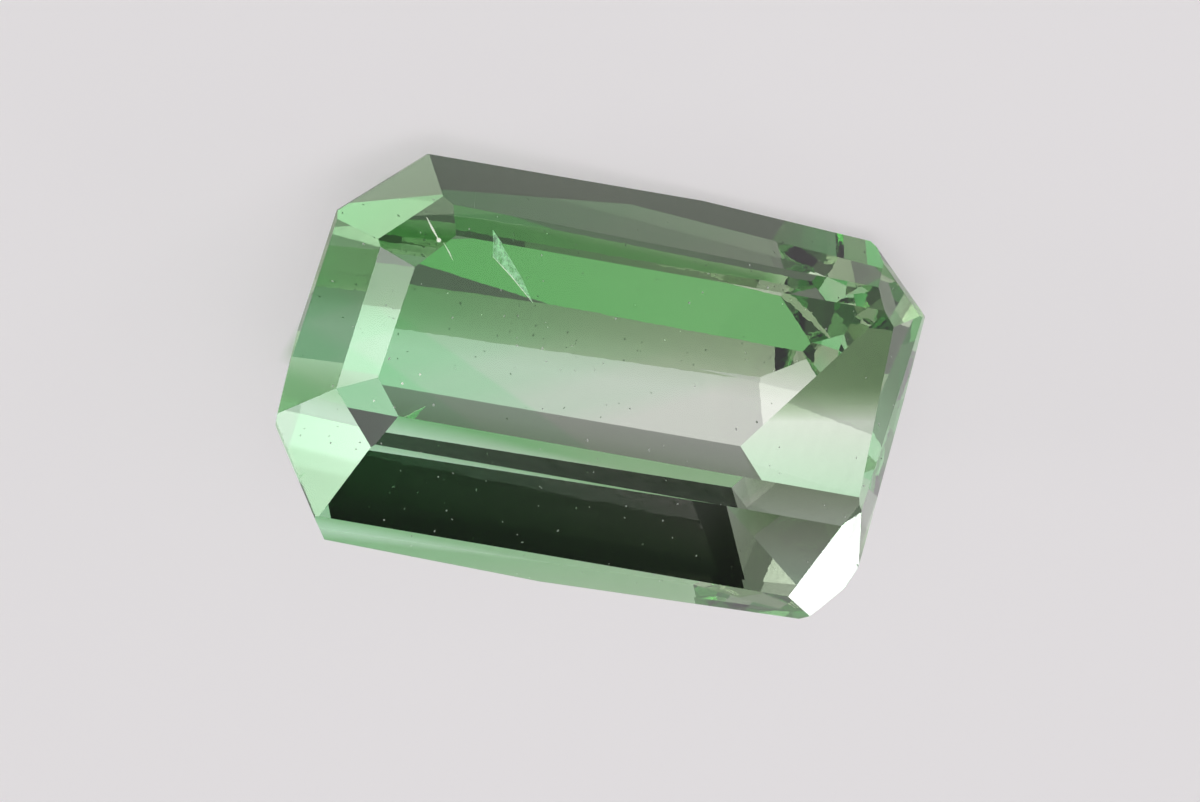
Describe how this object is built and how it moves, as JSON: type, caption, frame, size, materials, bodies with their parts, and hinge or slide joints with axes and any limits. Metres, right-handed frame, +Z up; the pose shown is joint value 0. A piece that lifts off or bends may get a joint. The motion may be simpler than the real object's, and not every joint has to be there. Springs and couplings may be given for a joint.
{
  "type": "step-cut gemstone",
  "caption": "Transparent pale mint green gemstone, a long octagon cut in steps with a flat table and a deep stepped underside, lying on one of its facets.",
  "frame": {"origin": "centre of the bounding box on the surface the stone lies on", "axes": "+X along the stone's long edges, -Y the side its table leans towards, +Z up; the stone lies on the large facet of its underside"},
  "size_m": [0.0078, 0.0044, 0.0031],
  "materials": {
    "garnet": "polished facets, transparent pale mint green"
  },
  "bodies": {
    "root": {"garnet": "garnet"}
  },
  "joints": []
}
